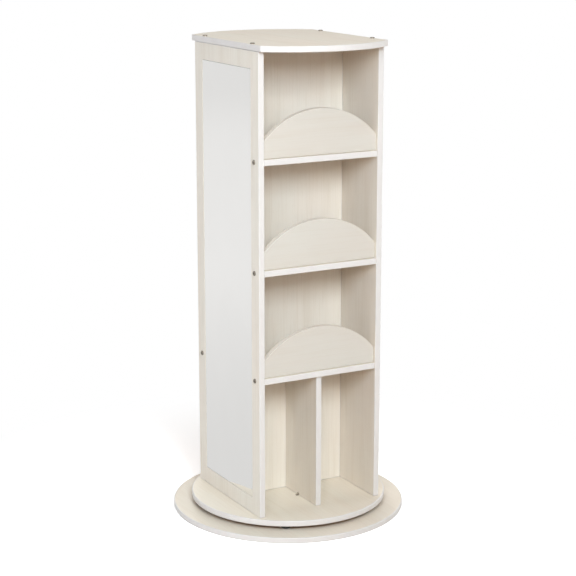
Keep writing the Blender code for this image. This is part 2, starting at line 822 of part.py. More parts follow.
def build():
    clear_scene()
    cage_axis = add_axis("cage_axis")
    turntable_axis = add_axis("turntable_axis")
    build_base()
    build_lower_race()
    build_cage(cage_axis)
    build_balls(cage_axis)
    build_upper_race(turntable_axis)
    build_platform(turntable_axis)
    build_glides(turntable_axis)
    for hand, side in (("left", -1), ("right", 1)):
        add_side_panel(f"{hand}_side_panel", side, turntable_axis)
        add_mirror(f"{hand}_mirror", side, turntable_axis)
    build_partition(turntable_axis)
    build_front_shelves(turntable_axis)
    build_lips(turntable_axis)
    build_divider(turntable_axis)
    build_clip(turntable_axis)
    build_rear_shelf(turntable_axis)
    build_rail(turntable_axis)
    build_top(turntable_axis)
    build_bolts(turntable_axis)


build()
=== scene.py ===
from math import cos, pi, radians, sin
import bmesh
import bpy
from mathutils import Matrix, Vector


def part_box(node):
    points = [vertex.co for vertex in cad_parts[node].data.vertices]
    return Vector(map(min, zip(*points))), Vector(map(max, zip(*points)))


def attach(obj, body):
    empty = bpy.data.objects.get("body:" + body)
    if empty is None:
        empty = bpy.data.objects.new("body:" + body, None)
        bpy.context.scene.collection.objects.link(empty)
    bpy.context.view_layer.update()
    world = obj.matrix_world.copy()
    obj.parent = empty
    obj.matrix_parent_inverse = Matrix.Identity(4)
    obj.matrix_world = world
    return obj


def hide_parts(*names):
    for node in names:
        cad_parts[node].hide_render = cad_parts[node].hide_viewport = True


# Looks of a rotating costume rack: a white-washed birch cabinet with mirrored sides
# that turns on a ball bearing over a round base. Metres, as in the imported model, and axes
# 0, 1 and 2 for X, Y and Z.

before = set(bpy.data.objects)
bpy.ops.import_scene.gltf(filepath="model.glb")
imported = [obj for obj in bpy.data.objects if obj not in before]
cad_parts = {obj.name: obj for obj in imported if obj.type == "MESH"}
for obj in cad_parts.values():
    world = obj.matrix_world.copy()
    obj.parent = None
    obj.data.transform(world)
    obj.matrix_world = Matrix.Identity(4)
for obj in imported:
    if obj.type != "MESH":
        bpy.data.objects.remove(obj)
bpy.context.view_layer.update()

print("camera")

cameraSetup = {
    "azimuth": -28.66,         # degrees round from the front, below 0 to the left-hand mirror
    "elevation": 13.25,        # degrees above the point that it looks at
    "distance": 4.29,          # from that point
    "aimHeight": 0.578,        # of that point, which is on the turning axis
    "focalLength": 104.6,      # mm
    "sensorWidth": 36,         # mm
}


# The place at that distance from a point on the turning axis, round it and above it
def pointAround(azimuth, elevation, distance, aimHeight):
    turn, rise = radians(azimuth), radians(elevation)
    away = Vector((sin(turn) * cos(rise), -cos(turn) * cos(rise), sin(rise)))
    return Vector((0, 0, aimHeight)) + away * distance


# A camera or a lamp at that place, looking back at the axis
def aimedObject(name, data, azimuth, elevation, distance, aimHeight):
    made = bpy.data.objects.new(name, data)
    bpy.context.scene.collection.objects.link(made)
    made.location = pointAround(azimuth, elevation, distance, aimHeight)
    lookAlong = Vector((0, 0, aimHeight)) - made.location
    made.rotation_euler = lookAlong.to_track_quat("-Z", "Y").to_euler()
    return made


def addCamera():
    lens = bpy.data.cameras.new("camera")
    lens.sensor_width = cameraSetup["sensorWidth"]
    lens.lens = cameraSetup["focalLength"]
    camera = aimedObject("camera", lens, cameraSetup["azimuth"], cameraSetup["elevation"],
                         cameraSetup["distance"], cameraSetup["aimHeight"])
    bpy.context.scene.camera = camera


addCamera()

print("materials")

mmPerMetre = 1000


# An sRGB hex colour as linear light, opaque
def hexColour(text):
    channels = [int(text[i:i + 2], 16) / 255 for i in (0, 2, 4)]
    return (*(c / 12.92 if c <= 0.04045 else ((c + 0.055) / 1.055) ** 2.4 for c in channels), 1)


# Adds a node. A socket given as a value is linked, and anything else is set. A Mix node's
# inputs go by number: 0 is the factor, 2 and 3 are two values, 6 and 7 two colours. Its
# output 2 is the mixed colour.
def addNode(tree, kind, values, settings=None, output=0):
    node = tree.nodes.new("ShaderNode" + kind)
    for key, value in (settings or {}).items():
        setattr(node, key, value)
    for key, value in values.items():
        if isinstance(value, bpy.types.NodeSocket):
            tree.links.new(value, node.inputs[key])
        else:
            node.inputs[key].default_value = value
    return node.outputs[output]


# A material whose shader has its even values set, and the object's own coordinates
def startMaterial(name, values):
    material = bpy.data.materials.new(name)
    material.use_nodes = True
    tree = material.node_tree
    shader = tree.nodes["Principled BSDF"]
    for key, value in values.items():
        shader.inputs[key].default_value = value
    return material, tree, shader, addNode(tree, "TexCoord", {}, output="Object")


woodLook = {
    "tints": ("ECE7DD", "ECE4D9"),     # pale sapwood and pinker heartwood, under the wash
    "grain": "C4B39B",                 # darkest fibres
    "satin": (0.38, 0.48),             # roughness from the clear coat to the open grain
    "shine": 0.2,                      # strength of the gloss, where 0.5 is plain lacquer
    "IOR": 1.5,
    "relief": 0.00004,                 # m, height of the raised grain
    "noise": {"Detail": 2.5, "Roughness": 0.55, "Distortion": 0.25},
    "apart": 7.3,                      # moves each pattern on from the one before it
    # Each pattern: mm across the grain, mm along it, the part of the noise that shows, and
    # how strongly. Real pores are a third of this width, and wouldn't show in a picture.
    "tone": (150, 600, 0.35, 0.65, 1.0),
    "figure": (30, 380, 0.50, 0.72, 0.12),
    "fibres": (3.2, 130, 0.48, 0.75, 0.13),
    "pores": (1.0, 14, 0.62, 0.74, 0.20),
}


# Birch plywood, white-washed with thinned paint and sealed with a satin lacquer. The washed board is
# pale and even, with its grain as faint warm streaks under a soft sheen. The same pattern in warm
# brown is painted shade, for the undersides.
def birchPlywood(name, along, look):
    material, tree, shader, coordinates = startMaterial(
        name, {"IOR": look["IOR"], "Specular IOR Level": look["shine"]})
    shown = {}
    for number, layer in enumerate(("tone", "figure", "fibres", "pores")):
        across, lengthways, low, high, strength = look[layer]
        sizes = [lengthways if axis == along else across for axis in range(3)]
        place = addNode(tree, "Mapping", {"Vector": coordinates,
                                          "Location": (look["apart"] * number,) * 3,
                                          "Scale": [mmPerMetre / size for size in sizes]})
        noise = addNode(tree, "TexNoise", {"Vector": place, "Scale": 1.0, **look["noise"]})
        shown[layer] = addNode(tree, "MapRange", {"Value": noise, "From Min": low, "From Max": high,
                                                  "To Min": 0.0, "To Max": strength})
    pale, warm = [hexColour(text) for text in look["tints"]]
    colour = addNode(tree, "Mix", {0: shown["tone"], 6: pale, 7: warm}, {"data_type": "RGBA"}, 2)
    for layer in ("figure", "fibres", "pores"):
        colour = addNode(tree, "Mix", {0: shown[layer], 6: colour, 7: hexColour(look["grain"])},
                         {"data_type": "RGBA"}, 2)
    tree.links.new(colour, shader.inputs["Base Color"])
    smooth, coarse = look["satin"]
    mostFibre = look["fibres"][-1]
    gloss = addNode(tree, "MapRange", {"Value": shown["fibres"], "From Min": 0.0,
                                       "From Max": mostFibre, "To Min": smooth, "To Max": coarse})
    tree.links.new(gloss, shader.inputs["Roughness"])
    height = addNode(tree, "Math", {0: shown["fibres"], 1: shown["pores"]}, {"operation": "ADD"})
    bump = addNode(tree, "Bump", {"Height": height, "Strength": 1.0, "Distance": look["relief"]},
                   {"invert": True})
    tree.links.new(bump, shader.inputs["Normal"])
    return material


# Other finishes share one pattern: two tints in soft patches, a gloss that follows them and
# a fine relief. The patches and the relief's grit are in mm, the grit coarser than the real
# one, to show, and the relief's height is in m.
hardLooks = {
    # Board edges sanded round, filled and rolled with white semi-gloss enamel
    "white enamel edge": {"colours": ("E0DDDB", "DEDAD8"), "patch": 26, "gloss": (0.34, 0.42),
                          "grit": 2.4, "relief": 0.00002, "IOR": 1.5},
    # Silvered acrylic sheet, safe near children: bright, with slow waves and a hint of haze
    "silvered acrylic": {"colours": ("F1F0EE", "F0EFED"), "patch": 120, "gloss": (0.03, 0.055),
                         "grit": 140, "relief": 0.000005, "Metallic": 1.0},
    # Its sawn edge and painted back, a dull grey, its own colour and also painted shade in the joint
    # round the sheet
    "sawn acrylic edge": {"colours": ("8E9392", "7E8382"), "patch": 3, "gloss": (0.5, 0.65),
                          "grit": 1.0, "relief": 0.00003, "IOR": 1.49},
    # Nickel-plated steel bolts, tumbled before plating and dulled by handling
    "nickelled steel": {"colours": ("968E83", "837B70"), "patch": 4, "gloss": (0.24, 0.36),
                        "grit": 0.7, "relief": 0.00001, "Metallic": 1.0},
    # Nickel-plated steel strip, rolled smooth, so the same plating is brighter on it
    "nickelled strip": {"colours": ("BFB8AE", "ACA59A"), "patch": 4, "gloss": (0.22, 0.32),
                        "grit": 1.2, "relief": 0.00001, "Metallic": 1.0},
    # Zinc-plated steel with clear passivation, bright and slightly blue
    "zinc-plated steel": {"colours": ("C3C6C9", "AEB2B6"), "patch": 16, "gloss": (0.2, 0.34),
                          "grit": 0.9, "relief": 0.00001, "Metallic": 1.0},
    # Bearing balls, lapped to a mirror
    "lapped bearing steel": {"colours": ("C9CBCD", "BDBFC2"), "patch": 3, "gloss": (0.06, 0.12),
                             "grit": 0.6, "relief": 0.000002, "Metallic": 1.0},
    # Die-cast aluminium, left as cast
    "die-cast aluminium": {"colours": ("B3B5B6", "9C9FA0"), "patch": 12, "gloss": (0.38, 0.54),
                           "grit": 1.2, "relief": 0.00003, "Metallic": 1.0},
    # Nylon moulded black, with a spark-eroded mould grain
    "moulded black nylon": {"colours": ("171512", "221F1B"), "patch": 8, "gloss": (0.42, 0.56),
                            "grit": 0.9, "relief": 0.00002, "IOR": 1.53},
    # Nylon moulded in its own pale colour
    "moulded natural nylon": {"colours": ("DDD9CE", "CFCBBE"), "patch": 9, "gloss": (0.4, 0.5),
                              "grit": 1.0, "relief": 0.00002, "IOR": 1.53},
}

hardNoise = {
    "texture": {"Detail": 2.0, "Roughness": 0.5},
    "shown": (0.35, 0.65),     # the part of it that the tints and the gloss follow
}


def hardFinish(name, look):
    uniform = {key: look[key] for key in ("Metallic", "IOR") if key in look}
    material, tree, shader, coordinates = startMaterial(name, uniform)
    patches, grit = [addNode(tree, "TexNoise", {"Vector": coordinates, "Scale": mmPerMetre / size,
                                                **hardNoise["texture"]})
                     for size in (look["patch"], look["grit"])]
    least, most = hardNoise["shown"]
    for socket, (low, high) in (("Base Color", (0.0, 1.0)), ("Roughness", look["gloss"])):
        value = addNode(tree, "MapRange", {"Value": patches, "From Min": least, "From Max": most,
                                           "To Min": low, "To Max": high})
        if socket == "Base Color":
            first, second = [hexColour(text) for text in look["colours"]]
            value = addNode(tree, "Mix", {0: value, 6: first, 7: second}, {"data_type": "RGBA"}, 2)
        tree.links.new(value, shader.inputs[socket])
    bump = addNode(tree, "Bump", {"Height": grit, "Strength": 1.0, "Distance": look["relief"]})
    tree.links.new(bump, shader.inputs["Normal"])
    return material


# The tints are matched to the photograph. The lips are tinted darker than the upright boards, as
# painted shade against the stronger light on their fronts. Their edges are tinted paler, as a painted
# highlight where the light catches them. The boards that lie flat are tinted a shade warmer, as
# painted light for how it falls on them. Both are glossier than the upright boards.
lipPaintedShadeLook = dict(woodLook, tints=("D2CEC6", "D2CBC2"), grain="C2B3A0", shine=0.5)
lipEdgePaintedHighlightLook = dict(lipPaintedShadeLook, tints=("F6F2EB", "F3EEE6"))
flatPaintedLightLook = dict(woodLook, tints=("E8E3D6", "E9E0D2"), grain="C9B8A0", shine=0.5)
# Painted shade: the cabinet's undersides are tinted warm brown, which darkens and browns the shade
# under them
undersideShadeLook = dict(flatPaintedLightLook, tints=("B08A64", "A9805A"), grain="8A6440")
# The boards that lie flat carry a tint that is painted light, set for the light on them
woodGrainX = birchPlywood("white-washed birch, grain across", 0, flatPaintedLightLook)
woodGrainY = birchPlywood("white-washed birch, grain front to back", 1, flatPaintedLightLook)
woodGrainZ = birchPlywood("white-washed birch, grain upright", 2, woodLook)
lipPaintedShadeWood = birchPlywood("white-washed birch, lips", 0, lipPaintedShadeLook)
# The lip edges' paler tint is a painted highlight
lipEdgePaintedHighlight = birchPlywood("white-washed birch, lip edges", 0, lipEdgePaintedHighlightLook)
hard = {name: hardFinish(name, look) for name, look in hardLooks.items()}
undersideShadeWood = birchPlywood("bare birch", 1, undersideShadeLook)
whiteEnamel = hard["white enamel edge"]

print("modelling tools")

# A board's materials, by their place in its list
faceSlot, edgeSlot, undersideSlot = 0, 1, 2
smoothAngle = radians(40)      # edges that turn by less are shaded smooth
tolerance = {
    "place": 0.0001,           # m, within which two corners count as level
    "facing": 0.7,             # share of its normal that a face has along the axis it looks along
    "square": 0.99,            # the same for a face that looks straight along it
}


def deselectAll():
    bpy.ops.object.select_all(action="DESELECT")


# The new primitive keeps its place in its mesh, with its object at the origin
def settle(name, *materials):
    piece = bpy.context.object
    piece.name = name
    piece.data.name = name
    bpy.ops.object.transform_apply(location=True, rotation=True, scale=True)
    for material in materials:
        piece.data.materials.append(material)
    return piece


# Selects the edges or faces that pass the test, and stays in edit mode
def pick(piece, kind, test):
    bpy.ops.object.mode_set(mode="EDIT")
    bpy.ops.mesh.select_mode(type=kind)
    bpy.ops.mesh.select_all(action="DESELECT")
    mesh = bmesh.from_edit_mesh(piece.data)
    for item in mesh.faces if kind == "FACE" else mesh.edges:
        item.select = test(item)
    mesh.select_flush_mode()
    bmesh.update_edit_mesh(piece.data)


def leaveEdit():
    bpy.ops.object.mode_set(mode="OBJECT")


def bevelPicked(width, segments, material=-1):
    bpy.ops.mesh.bevel(offset=width, segments=segments, profile=0.5, affect="EDGES",
                       material=material)
    leaveEdit()


# Cuts away all that lies beyond a plane and closes the cut
def cutOff(piece, point, outwards):
    pick(piece, "FACE", lambda face: True)
    bpy.ops.mesh.bisect(plane_co=point, plane_no=outwards, use_fill=True, clear_outer=True)
    leaveEdit()


# The edges' material on every face that doesn't look along the flat axis
def paintEdges(piece, flatAxis):
    for face in piece.data.polygons:
        looksAlong = abs(face.normal[flatAxis]) > tolerance["facing"]
        face.material_index = faceSlot if looksAlong else edgeSlot


# A board that lies flat in the cabinet gets the warm brown of painted shade on its underside
def paintUndersideShade(piece):
    piece.data.materials.append(undersideShadeWood)
    for face in piece.data.polygons:
        if face.normal.z < -tolerance["facing"]:
            face.material_index = undersideSlot


# Takes another piece's shape out of this one and deletes that piece
def carve(piece, tool):
    cut = piece.modifiers.new("cut", "BOOLEAN")
    cut.operation = "DIFFERENCE"
    cut.solver = "EXACT"
    cut.object = tool
    bpy.context.view_layer.objects.active = piece
    bpy.ops.object.modifier_apply(modifier=cut.name)
    bpy.data.objects.remove(tool)


# Soft shading over the roundings and flat on the faces, then its body, and its nodes hidden
def finishPiece(piece, body, slot, *nodes):
    deselectAll()
    piece.select_set(True)
    bpy.context.view_layer.objects.active = piece
    bpy.ops.object.shade_smooth_by_angle(angle=smoothAngle)
    normals = piece.modifiers.new("even shading", "WEIGHTED_NORMAL")
    normals.keep_sharp = True
    bpy.ops.object.modifier_apply(modifier=normals.name)
    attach(piece, body)
    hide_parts(*nodes)


# A copy of a modelled piece, set in its node's place
def copyPiece(source, name, matrix, body, slot, node):
    mesh = source.data.copy()
    mesh.transform(matrix)
    mesh.name = name
    piece = bpy.data.objects.new(name, mesh)
    bpy.context.scene.collection.objects.link(piece)
    finishPiece(piece, body, slot, node)


# A disc drawn up step by step, each time extruded and scaled, as on a lathe
def turnPiece(name, profile, sides, material):
    radius, height = profile[0]
    deselectAll()
    bpy.ops.mesh.primitive_circle_add(vertices=sides, radius=radius, location=(0, 0, height),
                                      fill_type="NGON")
    piece = settle(name, material)
    pick(piece, "FACE", lambda face: True)
    for nextRadius, nextHeight in profile[1:]:
        bpy.ops.mesh.extrude_region_move(
            TRANSFORM_OT_translate={"value": (0, 0, nextHeight - height)})
        grow = nextRadius / radius
        bpy.ops.transform.resize(value=(grow, grow, 1), center_override=(0, 0, nextHeight))
        radius, height = nextRadius, nextHeight
    bpy.ops.mesh.select_all(action="SELECT")
    bpy.ops.mesh.normals_make_consistent(inside=False)
    leaveEdit()
    return piece


# Turns something made along +Z to look along a direction, at a point
def aim(point, direction):
    turn = Vector(direction).to_track_quat("Z", "Y").to_matrix().to_4x4()
    return Matrix.Translation(point) @ turn


# A block that fills its node's box
def addBlock(name, node, *materials):
    low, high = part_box(node)
    deselectAll()
    bpy.ops.mesh.primitive_cube_add(size=1, location=(low + high) / 2, scale=high - low)
    return settle(name, *materials)


print("discs and top")

discLook = {
    "sides": 192,
    "rimRound": 0.0025,
    "rimSteps": 4,
    "cornerRound": 0.004,      # the top's four corners, seen from above
}


# A cylinder round the turning axis, as high as its node
def addRound(name, node, wood, radius):
    low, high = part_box(node)
    deselectAll()
    bpy.ops.mesh.primitive_cylinder_add(vertices=discLook["sides"], radius=radius,
                                        depth=high.z - low.z, location=(0, 0, (low.z + high.z) / 2))
    return settle(name, wood, whiteEnamel)


def liesFlat(edge):
    return abs(edge.verts[0].co.z - edge.verts[1].co.z) < tolerance["place"]


def addDisc(name, node, body):
    disc = addRound(name, node, woodGrainY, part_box(node)[1].x)
    paintEdges(disc, 2)
    if body == "tower":
        paintUndersideShade(disc)
    pick(disc, "EDGE", liesFlat)
    bevelPicked(discLook["rimRound"], discLook["rimSteps"], edgeSlot)
    finishPiece(disc, body, "washed_wood", node)


def addTop():
    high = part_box("top_panel")[1]
    top = addRound("bowedTop", "top_panel", woodGrainY, high.y)
    for side in (-1, 1):
        cutOff(top, (side * high.x, 0, 0), (side, 0, 0))
    paintEdges(top, 2)
    paintUndersideShade(top)
    corner = high.x - tolerance["place"]
    pick(top, "EDGE", lambda edge: not liesFlat(edge) and abs(edge.verts[0].co.x) > corner)
    bevelPicked(discLook["cornerRound"], discLook["rimSteps"], edgeSlot)
    pick(top, "EDGE", liesFlat)
    bevelPicked(discLook["rimRound"], discLook["rimSteps"], edgeSlot)
    finishPiece(top, "tower", "washed_wood", "top_panel")


addDisc("baseBoard", "base_disc", "base")
addDisc("turningPlatform", "platform_disc", "tower")
addTop()

print("boards")

boardLook = {
    "edgeRound": 0.0013,
    "roundSteps": 3,
}


def addBoard(name, node, flatAxis, wood):
    board = addBlock(name, node, wood, whiteEnamel)
    paintEdges(board, flatAxis)
    if flatAxis == 2:
        paintUndersideShade(board)
    pick(board, "EDGE", lambda edge: True)
    bevelPicked(boardLook["edgeRound"], boardLook["roundSteps"], edgeSlot)
    return board


boards = {
    "partitionBoard": ("central_partition", 1, woodGrainZ),
    "cubbyDivider": ("lower_divider", 0, woodGrainZ),
    "rearShelfBoard": ("rear_shelf", 2, woodGrainX),
    "shelfBoardLower": ("front_shelf_lower", 2, woodGrainX),
    "shelfBoardMiddle": ("front_shelf_middle", 2, woodGrainX),
    "shelfBoardUpper": ("front_shelf_upper", 2, woodGrainX),
}
for name, (node, flatAxis, wood) in boards.items():
    finishPiece(addBoard(name, node, flatAxis, wood), "tower", "washed_wood", node)

print("side panels and mirrors")

mirrorFit = {
    "joint": 0.0005,           # gap round the sheet
    "backGap": 0.0003,         # between the sheet and the pocket's floor
    "arris": 0.0004,
    "arrisSteps": 2,
}


# The outer face is inset to the mirror's outline and pushed in for the pocket
def addPanel(name, node, mirrorNode, side):
    panel = addBoard(name, node, 0, woodGrainZ)
    low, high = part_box(node)
    mirrorLow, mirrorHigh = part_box(mirrorNode)
    outer = high.x if side > 0 else low.x
    pick(panel, "FACE", lambda face: side * face.normal.x > tolerance["square"])
    rounding = boardLook["edgeRound"]
    margin = mirrorLow.y - mirrorFit["joint"] - (low.y + rounding)
    bpy.ops.mesh.inset(thickness=margin)
    insetHeight = high.z - low.z - 2 * rounding - 2 * margin
    stretch = (mirrorHigh.z - mirrorLow.z + 2 * mirrorFit["joint"]) / insetHeight
    bpy.ops.transform.resize(value=(1, 1, stretch),
                             center_override=(outer, 0, (mirrorLow.z + mirrorHigh.z) / 2))
    inner = mirrorLow.x if side > 0 else mirrorHigh.x
    depth = abs(outer - inner) + mirrorFit["backGap"]
    bpy.ops.mesh.extrude_region_move(TRANSFORM_OT_translate={"value": (-side * depth, 0, 0)})
    leaveEdit()
    finishPiece(panel, "tower", "washed_wood", node)


def addMirror(name, node):
    mirror = addBlock(name, node, hard["silvered acrylic"], hard["sawn acrylic edge"])
    paintEdges(mirror, 0)
    pick(mirror, "EDGE", lambda edge: True)
    bevelPicked(mirrorFit["arris"], mirrorFit["arrisSteps"], edgeSlot)
    finishPiece(mirror, "tower", "mirror", node)


addPanel("leftPanel", "left_side_panel", "left_mirror", -1)
addPanel("rightPanel", "right_side_panel", "right_mirror", 1)
addMirror("leftMirrorSheet", "left_mirror")
addMirror("rightMirrorSheet", "right_mirror")

print("lips")

lipShape = {
    "endHeight": 0.040,
    "sides": 240,              # facets of the whole circle that the arc is part of
    "edgeRound": 0.0015,
}


# A disc standing upright, cut off at the shelf and at both side panels
def addLip(name, node):
    low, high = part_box(node)
    rise = high.z - low.z - lipShape["endHeight"]
    radius = (high.x ** 2 + rise ** 2) / (2 * rise)
    deselectAll()
    bpy.ops.mesh.primitive_cylinder_add(
        vertices=lipShape["sides"], radius=radius, depth=high.y - low.y,
        location=(0, (low.y + high.y) / 2, high.z - radius), rotation=(radians(90), 0, 0))
    lip = settle(name, lipPaintedShadeWood, lipEdgePaintedHighlight)
    cutOff(lip, (0, 0, low.z), (0, 0, -1))
    for side in (-1, 1):
        cutOff(lip, (side * high.x, 0, 0), (side, 0, 0))
    paintEdges(lip, 1)
    near = tolerance["place"]
    pick(lip, "EDGE", lambda edge: abs(edge.verts[0].co.y - edge.verts[1].co.y) < near)
    bevelPicked(lipShape["edgeRound"], boardLook["roundSteps"], faceSlot)
    finishPiece(lip, "tower", "lip_wood", node)


for level in ("Lower", "Middle", "Upper"):
    addLip("archedLip" + level, "shelf_lip_" + level.lower())

print("bolts, screws and clip")

boltShape = {
    "headRadius": 0.006,
    "headHeight": 0.0024,
    "dome": 0.0015,
    "domeSteps": 4,
    "shankRadius": 0.003,
    "length": 0.050,
    "pointChamfer": 0.0008,
    "socketFlats": 0.005,
    "socketDepth": 0.0018,
    "sides": 48,
}


def hexSocket():
    deselectAll()
    depth = boltShape["socketDepth"]
    bpy.ops.mesh.primitive_cylinder_add(
        vertices=6, radius=boltShape["socketFlats"] / 2 / cos(radians(30)), depth=2 * depth,
        location=(0, 0, boltShape["headHeight"]))
    return settle("socket")


# Its head stands on z 0 and its shank points down
def modelBolt():
    shape = boltShape
    shank, head, top = shape["shankRadius"], shape["headRadius"], shape["headHeight"]
    chamfer, length = shape["pointChamfer"], shape["length"]
    bolt = turnPiece("bolt", [(shank - chamfer, -length), (shank, chamfer - length), (shank, 0),
                              (head, 0), (head, top)], shape["sides"], hard["nickelled steel"])
    nearTop = top - tolerance["place"]
    pick(bolt, "EDGE", lambda edge: liesFlat(edge) and edge.verts[0].co.z > nearTop)
    bevelPicked(shape["dome"], shape["domeSteps"])
    carve(bolt, hexSocket())
    return bolt


# One bolt, copied to each node with its head outwards
def addBolts():
    bolt = modelBolt()
    headTop = boltShape["headHeight"]
    for node in sorted(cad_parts):
        if not node.startswith(("top_bolt", "shelf_bolt")):
            continue
        low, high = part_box(node)
        middle = (low + high) / 2
        if node.startswith("top_bolt"):
            place = aim((middle.x, middle.y, high.z - headTop), (0, 0, 1))
        elif middle.x < 0:
            place = aim((low.x + headTop, middle.y, middle.z), (-1, 0, 0))
        else:
            place = aim((high.x - headTop, middle.y, middle.z), (1, 0, 0))
        words = node.split("_")
        name = words[0] + "".join(word.title() for word in words[1:])
        copyPiece(bolt, name, place, "tower", "nickelled_steel", node)
    bpy.data.objects.remove(bolt)


addBolts()

screwShape = {
    "headRadius": 0.0035,
    "headDepth": 0.0015,
    "shankRadius": 0.00175,
    "length": 0.012,
    "point": 0.0035,
    "tipRadius": 0.0002,
    "crossWidth": 0.0009,
    "crossLength": 0.0038,
    "crossDepth": 0.0009,
    "sides": 32,
}


def modelScrew():
    shape = screwShape
    shank, length = shape["shankRadius"], shape["length"]
    screw = turnPiece("screw", [(shape["tipRadius"], -length), (shank, shape["point"] - length),
                                (shank, -shape["headDepth"]), (shape["headRadius"], 0)],
                      shape["sides"], hard["zinc-plated steel"])
    crossLength, crossWidth = shape["crossLength"], shape["crossWidth"]
    for size in ((crossLength, crossWidth), (crossWidth, crossLength)):
        deselectAll()
        bpy.ops.mesh.primitive_cube_add(size=1, location=(0, 0, 0),
                                        scale=(*size, 2 * shape["crossDepth"]))
        carve(screw, settle("cross"))
    return screw


# The rail's screws look back, and the bearing's look into the gap between its rings
def addScrews():
    screw = modelScrew()
    for side in ("left", "right"):
        low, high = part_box("rail_screw_" + side)
        middle = (low + high) / 2
        copyPiece(screw, "railScrew" + side.title(), aim((middle.x, high.y, middle.z), (0, 1, 0)),
                  "tower", "bright_steel", "rail_screw_" + side)
    for ring, body, look in (("lower", "base", 1), ("upper", "tower", -1)):
        for number in (1, 2, 3):
            node = f"{ring}_race_screw_{number}"
            low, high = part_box(node)
            middle = (low + high) / 2
            head = high.z if look > 0 else low.z
            place = aim((middle.x, middle.y, head), (0, 0, look))
            copyPiece(screw, f"{ring}RaceScrew{number}", place, body, "bright_steel", node)
    bpy.data.objects.remove(screw)


addScrews()

clipShape = {
    "thickness": 0.0012,
    "bend": 0.0009,            # inner radius of the bend
    "bendSteps": 4,
}


# A strip lying on the platform, with its end drawn up along the divider
def addClip():
    low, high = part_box("divider_clip")
    thick, steps, near = clipShape["thickness"], clipShape["bendSteps"], tolerance["place"]
    bend = high.x - thick
    deselectAll()
    bpy.ops.mesh.primitive_cube_add(size=1, scale=(high.x - low.x, high.y - low.y, thick),
                                    location=((low.x + high.x) / 2, (low.y + high.y) / 2,
                                              low.z + thick / 2))
    clip = settle("dividerClip", hard["nickelled strip"])
    pick(clip, "FACE", lambda face: True)
    bpy.ops.mesh.bisect(plane_co=(bend, 0, 0), plane_no=(1, 0, 0))
    leaveEdit()
    pick(clip, "FACE", lambda face: face.normal.z > tolerance["square"]
         and face.calc_center_median().x > bend)
    bpy.ops.mesh.extrude_region_move(
        TRANSFORM_OT_translate={"value": (0, 0, high.z - low.z - thick)})
    leaveEdit()
    pick(clip, "EDGE", lambda edge: all(
        abs(v.co.x - bend) < near and abs(v.co.z - low.z - thick) < near for v in edge.verts))
    bevelPicked(clipShape["bend"], steps)
    pick(clip, "EDGE", lambda edge: all(
        v.co.x > high.x - near and v.co.z < low.z + near for v in edge.verts))
    bevelPicked(thick, steps)
    finishPiece(clip, "tower", "nickelled_steel", "divider_clip")


addClip()

print("hanging rail")

railShape = {
    "tubeRadius": 0.008,
    "plateRadius": 0.025,
    "plateThickness": 0.003,
    "arris": 0.0006,
    "weld": 0.001,
    "stopRadius": 0.013,
    "stopThickness": 0.006,
    "stopRound": 0.0018,
    "roundMiddle": 0.3,        # how far in a rounding's middle lies, as a share of its radius
    "screwSpacing": 0.034,
    "holeRadius": 0.002,
    "holeSides": 24,
    "sinkDepth": 0.0015,
    "sinkRadius": 0.0049,      # of the countersink's tool, where it stands out of the plate
    "standOut": 0.001,         # on both sides of the plate
    "sides": 64,
}


def addRail():
    shape = railShape
    low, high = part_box("hanging_rail")
    plate, thick = shape["plateRadius"], shape["plateThickness"]
    tube, stop, curve = shape["tubeRadius"], shape["stopRadius"], shape["stopRound"]
    tip = high.y - low.y
    end = tip - shape["stopThickness"]
    arris, weld, middle = shape["arris"], shape["weld"], shape["roundMiddle"] * curve
    rail = turnPiece("hangingRail", [
        (plate, 0), (plate, thick - arris), (plate - arris, thick), (tube + weld, thick),
        (tube, thick + weld), (tube, end), (stop - curve, end), (stop - middle, end + middle),
        (stop, end + curve), (stop, tip - curve), (stop - middle, tip - middle),
        (stop - curve, tip)], shape["sides"], hard["zinc-plated steel"])
    hole, past = shape["holeRadius"], shape["standOut"]
    for side in (-1, 1):
        sink = turnPiece("sink", [(hole, -past), (hole, thick - shape["sinkDepth"]),
                                  (shape["sinkRadius"], thick + past)],
                         shape["holeSides"], hard["zinc-plated steel"])
        sink.data.transform(Matrix.Translation((side * shape["screwSpacing"] / 2, 0, 0)))
        carve(rail, sink)
    rail.data.transform(aim((0, low.y, (low.z + high.z) / 2), (0, 1, 0)))
    finishPiece(rail, "tower", "bright_steel", "hanging_rail")


addRail()

print("glides and bearing")

glideShape = {
    "count": 6,
    "radius": 0.0125,
    "footRound": 0.0025,
    "stemRadius": 0.004,
    "stemLength": 0.010,
    "sides": 48,
}


def addGlides():
    shape = glideShape
    low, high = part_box("rim_glide_1")
    radius, curve = shape["radius"], shape["footRound"]
    foot = -(high.z - low.z - shape["stemLength"])
    profile = [(radius - curve + curve * sin(radians(a)), foot + curve - curve * cos(radians(a)))
               for a in (0, 22.5, 45, 67.5, 90)]
    profile += [(radius, 0), (shape["stemRadius"], 0), (shape["stemRadius"], shape["stemLength"])]
    glide = turnPiece("glide", profile, shape["sides"], hard["moulded black nylon"])
    for number in range(1, shape["count"] + 1):
        node = f"rim_glide_{number}"
        low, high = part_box(node)
        place = Matrix.Translation(((low.x + high.x) / 2, (low.y + high.y) / 2,
                                    high.z - shape["stemLength"]))
        copyPiece(glide, f"blackGlide{number}", place, "tower", "black_nylon", node)
    bpy.data.objects.remove(glide)


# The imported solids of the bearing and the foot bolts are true, and only take their finish
def dressBearing():
    finishes = {"_race_ring": "die-cast aluminium", "ball_cage": "moulded natural nylon",
                "bearing_ball": "lapped bearing steel", "foot_bolt": "zinc-plated steel"}
    for name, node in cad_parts.items():
        for words, finish in finishes.items():
            if words in name:
                for place in node.material_slots:
                    place.material = hard[finish]


addGlides()
dressBearing()

print("studio")

